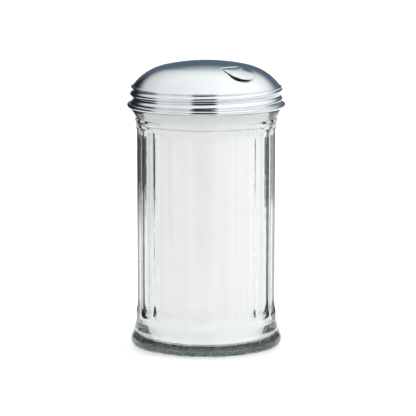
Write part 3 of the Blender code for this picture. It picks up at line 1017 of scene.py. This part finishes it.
glass, tree, shader = new_material("clear_pressed_glass")
height = object_place(tree)[2]
pitted = ranged(tree, height, pit_share, 0.0, pits_full_z, pits_end_z)
uneven = calculated(tree, "MULTIPLY_ADD", object_noise(tree, pit_size, 3.0), pitted,
                    object_noise(tree, wave_size, 2.0))
scuffs = object_noise(tree, scuff_size, 3.0, (1.0, 1.0, 2.0))
scuffed = ranged(tree, scuffs, 0.0, scuff_roughness, scuff_least, scuff_most)
worn = calculated(tree, "MULTIPLY", scuffed,
                  ranged(tree, height, 1.0, 0.0, scuffs_full_z, scuffs_end_z))
set_inputs(shader, Base_Color=(1.0, 1.0, 1.0, 1.0), IOR=1.52, Transmission_Weight=1.0,
           Roughness=worn, Normal=bump(tree, uneven, wave_strength, wave_depth))
green = add_node(tree, "ShaderNodeVolumeAbsorption",
                 [("Color", glass_tint), ("Density", glass_density)])
set_inputs(tree.nodes["Material Output"], Volume=green.outputs[0])
finish_in(jar, glass)

# %% [markdown]
# ### Sugar
#
# White sugar is clear crystals about half a millimetre across, so it is white as a heap and
# speckled close up. Two noises shade it, one as large as the grains and one as large as the
# lumps.

# %% Sugar
grain_size = 0.0007
lump_size = 0.012
grain_strength, grain_height = 0.6, 0.0003
grain_share, lump_share = 0.7, 0.3
noise_low, noise_high = 0.3, 0.7
sugar_shades = ((0.91, 0.90, 0.91), (0.975, 0.962, 0.972))

sugar_paint, tree, shader = new_material("white_sugar")
grains = object_noise(tree, grain_size, 3.0)
lumps = object_noise(tree, lump_size, 3.0)
shade = calculated(tree, "ADD", ranged(tree, grains, 0.0, grain_share, noise_low, noise_high),
                   ranged(tree, lumps, 0.0, lump_share, noise_low, noise_high))
set_inputs(shader, Base_Color=mixed_colour(tree, shade, *sugar_shades), Roughness=0.55,
           Specular_IOR_Level=0.4, Normal=bump(tree, grains, grain_strength, grain_height))
finish_in(sugar, sugar_paint)

# %% [markdown]
# ### Steel and the white ring
#
# The lid is stainless steel, polished on a lathe: satin, with hair-fine rings round the axis and
# a few smudges. The rings are a noise that reads the distance from the axis and the height, and
# so closes on itself all the way round. The sealing ring is a white foamed plastic with fine
# cells.

# %% Steel
lathe_ring_width = 0.00022
lathe_ring_depth = 0.00001
smudge_size = 0.014
least_rough, most_rough = 0.85, 1.2


def steel(name, colour, roughness, ring_strength):
    """Return a satin steel with fine rings round the Z axis."""
    made, tree, shader = new_material(name)
    place = object_place(tree)
    across = add_node(tree, "ShaderNodeCombineXYZ", [(0, place[0]), (1, place[1])])
    reach = add_node(tree, "ShaderNodeVectorMath", [(0, across.outputs[0])], operation="LENGTH")
    lathe = add_node(tree, "ShaderNodeCombineXYZ", [(0, reach.outputs["Value"]), (1, place[2])])
    rings = add_node(tree, "ShaderNodeTexNoise", [("Vector", lathe.outputs[0]), ("Detail", 3.0),
                                                  ("Scale", 1.0 / lathe_ring_width)])
    smudges = object_noise(tree, smudge_size, 4.0)
    worn = ranged(tree, smudges, roughness * least_rough, roughness * most_rough, 0.35, 0.65)
    set_inputs(shader, Base_Color=(*colour, 1.0), Metallic=1.0, Roughness=worn,
               Normal=bump(tree, rings.outputs[0], ring_strength, lathe_ring_depth))
    return made


lid_steel = steel("satin_steel", (0.77, 0.81, 0.82), roughness=0.11, ring_strength=0.3)
finish_in(lid, lid_steel)
finish_in(flap, lid_steel)
finish_in(pin, steel("wire_steel", (0.70, 0.71, 0.72), roughness=0.25, ring_strength=0.4))

# %% White plastic
cell_size = 0.0006
cell_strength, cell_depth = 0.4, 0.0001
plastic_shades = ((0.80, 0.80, 0.77), (0.90, 0.90, 0.87))

white_plastic, tree, shader = new_material("white_foam_plastic")
cells = object_noise(tree, cell_size, 3.0)
set_inputs(shader, Base_Color=mixed_colour(tree, cells, *plastic_shades), Roughness=0.6,
           Normal=bump(tree, cells, cell_strength, cell_depth))
finish_in(ring, white_plastic)

# %% [markdown]
# ## The studio
#
# The photograph was taken on a white table, with a large soft light overhead, one at each side of
# the camera, and a darker room beyond. Steel and glass show that room. The camera stands where
# the ellipses of the rim and the foot put it, close to two metres away, with a long lens.

# %% Camera
camera_place = Vector((1.4141, -1.1866, 0.3391))
camera_aim = Vector((0.0, 0.0, 0.070))
camera = bpy.data.objects.new("camera", bpy.data.cameras.new("camera"))
bpy.context.scene.collection.objects.link(camera)
camera.location = camera_place
camera.rotation_euler = (camera_aim - camera_place).to_track_quat("-Z", "Y").to_euler()
camera.data.sensor_width = 36.0
camera.data.lens = 331.5
camera.data.shift_x = 0.0043
camera.data.shift_y = -0.0108
bpy.context.scene.camera = camera
camera_angle = math.atan2(camera_place.y, camera_place.x)
print("camera is", round(camera_place.length, 3), "m away")

# %% [markdown]
# ### Strength by the kind of ray
#
# Every light here has two strengths: the one at which it lights matt things, such as the sugar,
# and the one at which steel mirrors it or it is seen through glass. With one for both, a lamp
# that lights the sugar well is a burnt white patch in the steel. Each of the two is given twice,
# for a ray in the open and for one that came through the glass. The Light Path node tells the
# rays apart.

# %% Strength by the kind of ray
def by_ray(tree, lamp, lamp_in_glass, seen, seen_in_glass):
    """Return a strength: as a lamp to matt surfaces and as seen, each bare or in glass."""
    rays = add_node(tree, "ShaderNodeLightPath").outputs
    is_matt = calculated(tree, "MINIMUM", rays["Diffuse Depth"], 1.0)
    in_glass = rays["Is Transmission Ray"]
    return ranged(tree, is_matt, ranged(tree, in_glass, seen, seen_in_glass),
                  ranged(tree, in_glass, lamp, lamp_in_glass))


# %% [markdown]
# ### The table
#
# The table is white paper and keeps the object's shadow. A little light of its own, for the
# camera's rays, brings it up to the white of the photograph. A hair of space keeps it apart from
# the foot.

# %% The table
table_drop = 0.0002
table_reach = 6.0
table_shine = 0.22

table_shape = bmesh.new()
bmesh.ops.create_grid(table_shape, x_segments=1, y_segments=1, size=table_reach)
move(table_shape, Matrix.Translation((0.0, 0.0, -table_drop)))
table = piece("table", table_shape)
paper, tree, shader = new_material("white_paper")
rays = add_node(tree, "ShaderNodeLightPath").outputs
shine = calculated(tree, "MULTIPLY_ADD", rays["Is Camera Ray"], table_shine,
                   by_ray(tree, lamp=0.0, lamp_in_glass=0.85, seen=0.08, seen_in_glass=0.0))
set_inputs(shader, Base_Color=(0.86, 0.86, 0.86, 1.0), Roughness=0.9, Specular_IOR_Level=0.0,
           Emission_Color=(1.0, 1.0, 1.0, 1.0), Emission_Strength=shine)
finish_in(table, paper)

# %% [markdown]
# ### The sky
#
# The steel mirrors the sky, so the sky draws the dome. It is a ramp over the direction: dark and
# bluish low down behind, which makes the band round the dome's top, and light overhead and
# towards the camera. It is dimmer at the left than at the right. Seen straight through the glass
# the sky is a light grey with a trace of green, and to matt surfaces it is plain white. Is Glossy
# Ray is also 1 for a ray that only passed through smooth glass, so those are taken off again.

# %% Colours of the sky
sky_lean = 0.5
sky_from, sky_to = -0.3, 1.1
sky_stops = ((0.13, (0.12, 0.17, 0.23)), (0.18, (0.30, 0.34, 0.38)),
             (0.24, (0.58, 0.61, 0.63)), (0.30, (0.88, 0.89, 0.90)),
             (0.40, (1.08, 1.08, 1.08)), (0.66, (1.38, 1.38, 1.38)))
left_in_steel, right_in_steel = 0.60, 1.06
left_in_glass, right_in_glass = 0.62, 0.99
sky_in_glass = (0.94, 1.0, 0.99)


def along(tree, direction, axis):
    """Return how far a direction goes along an axis."""
    return add_node(tree, "ShaderNodeVectorMath", [(0, direction), (1, axis)],
                    operation="DOT_PRODUCT").outputs["Value"]


def dimmed(tree, colour, factor):
    """Return a colour times a factor."""
    return add_node(tree, "ShaderNodeVectorMath", [(0, colour), ("Scale", factor)],
                    operation="SCALE").outputs[0]


# %% The sky
world = bpy.data.worlds.new("studio")
world.use_nodes = True
bpy.context.scene.world = world
tree = world.node_tree
look = add_node(tree, "ShaderNodeTexCoord").outputs["Generated"]
right_angle = camera_angle + math.radians(90.0)
rise = along(tree, look, (sky_lean * math.cos(camera_angle),
                          sky_lean * math.sin(camera_angle), 1.0))
aside = along(tree, look, (math.cos(right_angle), math.sin(right_angle), 0.0))
risen = ranged(tree, rise, 0.0, 1.0, sky_from, sky_to)
mirrored = add_node(tree, "ShaderNodeValToRGB", [("Fac", risen)])
ramp = mirrored.color_ramp.elements
for place, colour in sky_stops:
    ramp.new(place).color = (*colour, 1.0)
ramp.remove(ramp[-1])
ramp.remove(ramp[0])
steel_side = ranged(tree, aside, left_in_steel, right_in_steel, -1.0, 1.0)
glass_side = ranged(tree, aside, left_in_glass, right_in_glass, -1.0, 1.0)
in_steel = dimmed(tree, mirrored.outputs[0], steel_side)
in_glass = dimmed(tree, sky_in_glass, glass_side)
rays = add_node(tree, "ShaderNodeLightPath").outputs
not_matt = calculated(tree, "SUBTRACT", 1.0, rays["Diffuse Depth"], clamp=True)
seen_in_glass = calculated(tree, "MULTIPLY", not_matt, rays["Is Transmission Ray"])
behind = mixed_colour(tree, seen_in_glass, (1.0, 1.0, 1.0), in_glass)
reflected = calculated(tree, "SUBTRACT", rays["Is Glossy Ray"], rays["Is Transmission Ray"],
                       clamp=True)
shown = mixed_colour(tree, reflected, behind, in_steel)
strength = by_ray(tree, lamp=0.6, lamp_in_glass=1.5, seen=1.0, seen_in_glass=1.0)
set_inputs(tree.nodes["Background"], Color=shown, Strength=strength)
print("the sky has", len(ramp), "stops")

# %% [markdown]
# ### Cards and softboxes
#
# Dark cards behind the object and close beside its lid draw the dark lines in the glass and the
# dark ends of the skirt, and softboxes stand further out. All but the flat one overhead are
# strips of a cylinder round the object, with soft edges: an attribute says how much of it covers
# at each point, and the rest is transparent. The camera sees none of them, and each is there only
# for the kinds of ray that it is meant for.

# %% A material that shines, and a piece of the studio
every_ray = ("diffuse", "glossy", "transmission")


def stage_material(name, colour, lamp=1.0, lamp_in_glass=1.0, seen=1.0, seen_in_glass=1.0):
    """Return a material that only shines, where the attribute cover says that it covers."""
    made, tree, shader = new_material(name)
    tree.nodes.remove(shader)
    strength = by_ray(tree, lamp, lamp_in_glass, seen, seen_in_glass)
    light = add_node(tree, "ShaderNodeEmission",
                     [("Color", (*colour, 1.0)), ("Strength", strength)])
    clear = add_node(tree, "ShaderNodeBsdfTransparent")
    cover = add_node(tree, "ShaderNodeAttribute", attribute_name="cover")
    soft = add_node(tree, "ShaderNodeMixShader",
                    [(0, cover.outputs["Fac"]), (1, clear.outputs[0]), (2, light.outputs[0])])
    set_inputs(tree.nodes["Material Output"], Surface=soft.outputs[0])
    return made


def stage_piece(name, shape, seen_by, colour, **strengths):
    """Make a shining piece of the studio that only some rays see, and never the camera's."""
    made = piece(name, shape)
    made.visible_camera = False
    made.visible_shadow = False
    for ray in every_ray:
        setattr(made, "visible_" + ray, ray in seen_by)
    finish_in(made, stage_material(name, colour, **strengths))


# %% A curved card
card_rows = 32
card_columns = 48


def share_inside(distance, soft):
    """Return how much a soft edge covers at a distance inside it."""
    return ease(distance / soft) if soft else 1.0


def curved_card(radius, heights, between_deg, soft_deg, soft_low=0.0, soft_high=0.0):
    """Return a card bent round the object, between two angles to the right of the camera."""
    low_z, high_z = heights
    width_deg = between_deg[1] - between_deg[0]
    section = [(radius, low_z + (high_z - low_z) * row / card_rows)
               for row in range(card_rows + 1)]
    shape = spun(section, card_columns, math.radians(width_deg), closed=False)
    cover = shape.verts.layers.float.new("cover")
    for vertex, angle, _ in polar_points(shape):
        turned_deg = math.degrees(angle) % 360.0
        aside = share_inside(max(0.0, min(turned_deg, width_deg - turned_deg)), soft_deg)
        below = share_inside(vertex.co.z - low_z, soft_low)
        vertex[cover] = aside * below * share_inside(high_z - vertex.co.z, soft_high)
    move(shape, Matrix.Rotation(camera_angle + math.radians(between_deg[0]), 4, "Z"))
    return shape


# %% Dark cards
card = curved_card(0.45, (-table_drop, 0.40), (120.0, 240.0), 5.0, soft_low=0.025)
stage_piece("dark_back", card, ("transmission",), (0.08, 0.09, 0.09))
card = curved_card(0.20, (0.02, 0.24), (-162.0, -70.0), 16.0, soft_low=0.03, soft_high=0.06)
stage_piece("dark_side", card, ("glossy",), (0.015, 0.018, 0.022))
card = curved_card(0.15, (0.02, 0.36), (-25.0, 19.0), 9.0, soft_low=0.02, soft_high=0.18)
stage_piece("camera_gap", card, ("glossy",), (0.03, 0.034, 0.040))

# %% Softboxes
white = (1.0, 1.0, 1.0)
box_radius = 1.15
overhead_stretch = (2.0, 3.2, 1.0, 1.0)
overhead_place = (-0.7, 0.0, 1.25)

card = curved_card(box_radius, (0.05, 0.85), (19.0, 104.0), 10.0, soft_low=0.05, soft_high=0.1)
stage_piece("softbox_right", card, every_ray, white,
            lamp=2.2, lamp_in_glass=2.4, seen=0.85, seen_in_glass=0.95)
card = curved_card(box_radius, (0.05, 0.80), (-60.0, -24.0), 8.0, soft_low=0.05, soft_high=0.1)
stage_piece("softbox_left", card, every_ray, white,
            lamp=1.5, lamp_in_glass=1.7, seen=0.5, seen_in_glass=0.7)
overhead = bmesh.new()
bmesh.ops.create_grid(overhead, x_segments=1, y_segments=1, size=0.5)
cover = overhead.verts.layers.float.new("cover")
for vertex in overhead.verts:
    vertex[cover] = 1.0
move(overhead, Matrix.Rotation(camera_angle, 4, "Z") @ Matrix.Translation(overhead_place)
     @ Matrix.Diagonal(overhead_stretch))
stage_piece("softbox_overhead", overhead, ("diffuse", "transmission"), white,
            lamp=1.5, lamp_in_glass=1.7)

# %% [markdown]
# ## The picture
#
# With the Standard view transform a colour renders about as it is written.

# %% Picture settings
bpy.context.scene.view_settings.view_transform = "Standard"

# %% Update the scene
bpy.context.view_layer.update()
